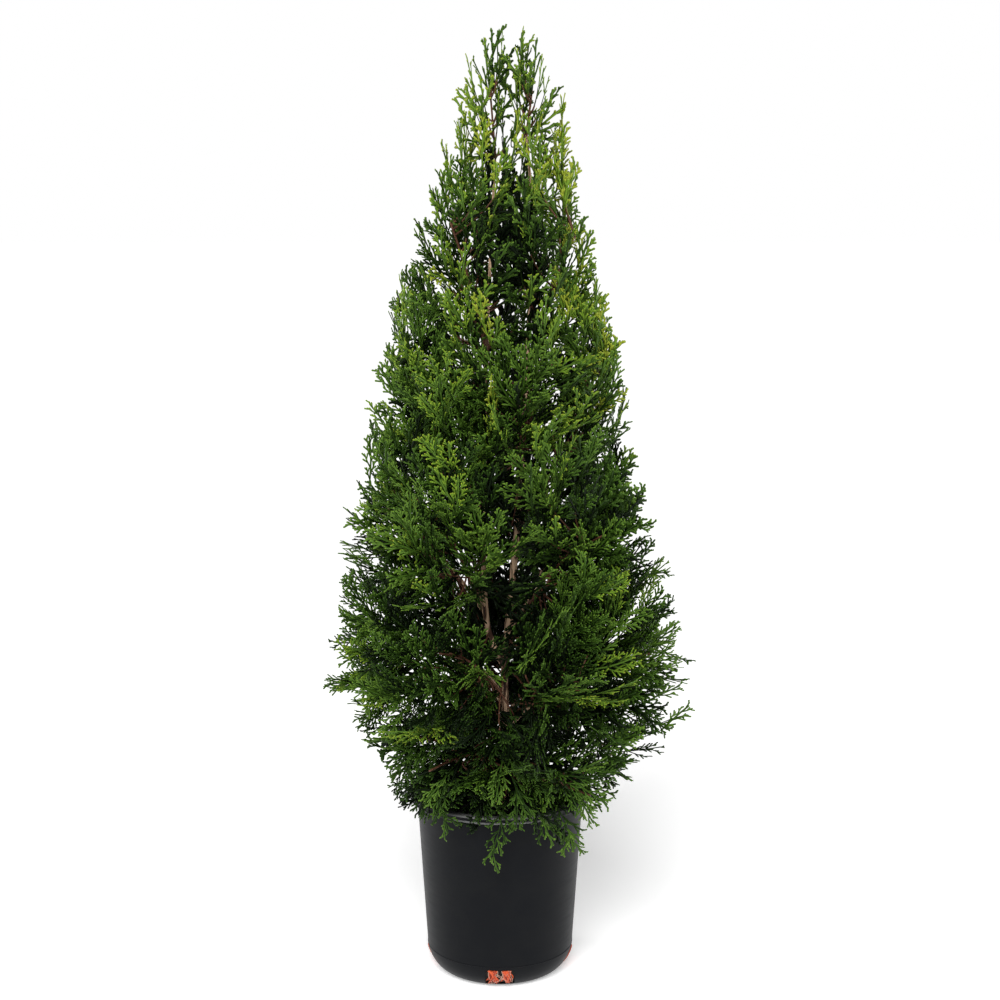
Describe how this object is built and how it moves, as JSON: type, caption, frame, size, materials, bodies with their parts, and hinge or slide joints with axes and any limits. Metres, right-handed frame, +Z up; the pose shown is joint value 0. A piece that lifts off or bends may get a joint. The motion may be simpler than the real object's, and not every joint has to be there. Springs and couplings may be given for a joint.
{
  "type": "potted arborvitae",
  "caption": "Narrow conical evergreen with flat scaly sprays on a slender trunk and a second leader, growing in a round nursery pot with a rolled lip.",
  "frame": {"origin": "centre of the pot's flat underside", "axes": "+Z up through the pot's axis; -Y is the side that the picture shows; +X to its right"},
  "size_m": [0.4994, 0.4944, 1.2796],
  "materials": {
    "pot_plastic": "satin moulded black plastic",
    "potting_mix": "damp bark and peat mix, rough",
    "root_fibre": "matted fine roots",
    "bark": "thin stringy red-brown bark",
    "foliage": "scaly bright green sprays, satin"
  },
  "bodies": {
    "root": {"crest_1": "foliage", "crest_2": "foliage", "lower_1": "foliage", "lower_1_bough": "bark", "lower_2": "foliage", "lower_2_bough": "bark", "lower_3": "foliage", "lower_3_bough": "bark", "lower_4": "foliage", "lower_4_bough": "bark", "lower_5": "foliage", "lower_5_bough": "bark", "lower_6": "foliage", "lower_6_bough": "bark", "middle_1": "foliage", "middle_1_bough": "bark", "middle_2": "foliage", "middle_2_bough": "bark", "middle_3": "foliage", "middle_3_bough": "bark", "middle_4": "foliage", "middle_4_bough": "bark", "middle_5": "foliage", "middle_5_bough": "bark", "pot": "pot_plastic", "potting_mix": "potting_mix", "root_mat_back": "root_fibre", "root_mat_front": "root_fibre", "root_mat_left": "root_fibre", "root_mat_right": "root_fibre", "second_leader": "bark", "shoulder_1": "foliage", "shoulder_2": "foliage", "shoulder_3": "foliage", "skirt_1": "foliage", "skirt_1_bough": "bark", "skirt_2": "foliage", "skirt_2_bough": "bark", "skirt_3": "foliage", "skirt_3_bough": "bark", "skirt_4": "foliage", "skirt_4_bough": "bark", "skirt_5": "foliage", "skirt_5_bough": "bark", "trunk": "bark", "upper_1": "foliage", "upper_1_bough": "bark", "upper_2": "foliage", "upper_2_bough": "bark", "upper_3": "foliage", "upper_3_bough": "bark", "upper_4": "foliage", "upper_4_bough": "bark"}
  },
  "joints": []
}
